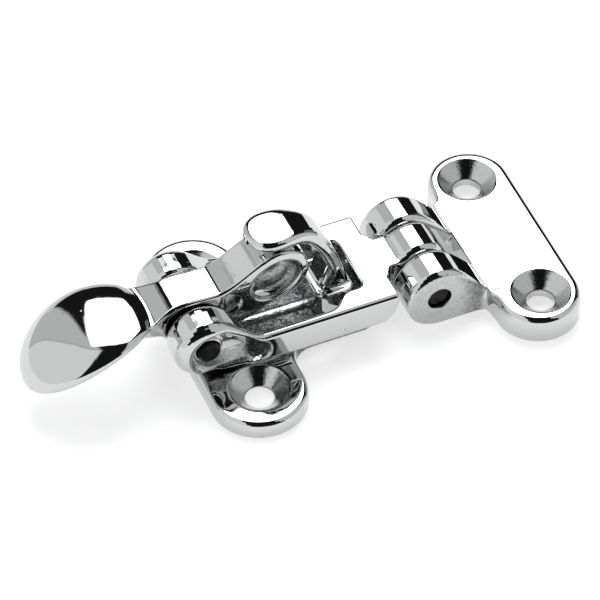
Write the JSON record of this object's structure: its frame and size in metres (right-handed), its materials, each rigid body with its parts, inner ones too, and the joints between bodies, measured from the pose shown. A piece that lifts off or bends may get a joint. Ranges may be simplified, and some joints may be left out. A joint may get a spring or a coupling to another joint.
{
  "type": "toggle latch",
  "caption": "Chrome cam-action toggle latch: a hinged hasp arm whose spoon lever pulls its nose up under a fixed keeper claw.",
  "frame": {"origin": "centre of the hinge plate's underside, on the line between its two screw holes, on the mounting surface", "axes": "+Z away from the mounting surface; +X from the keeper towards the hinge plate; +Y along the hinge pin"},
  "size_m": [0.084, 0.0404, 0.0214],
  "materials": {
    "chrome_casting": "polished chrome plate on a cast body",
    "pin_steel": "plain turned pin, end faces dull"
  },
  "bodies": {
    "mounted": {"hinge_plate": "chrome_casting", "hinge_pin": "pin_steel", "keeper_base": "chrome_casting"},
    "arm": {"hasp_arm": "chrome_casting", "lever_pin": "pin_steel"},
    "lever": {"spoon_lever": "chrome_casting"}
  },
  "joints": [
    {"name": "arm_hinge", "type": "hinge", "parent": "mounted", "child": "arm", "pos_m": [-0.0149, 0, 0.0052], "axis": [0, 1, 0], "range_deg": [0, 46.5]},
    {"name": "lever_hinge", "type": "hinge", "parent": "arm", "child": "lever", "pos_m": [-0.0517, 0, 0.009], "axis": [0, 1, 0], "range_deg": [0, 150]}
  ],
  "couplings": [
    {"joint": "arm_hinge", "follows": "lever_hinge", "ratio": 0.31}
  ]
}
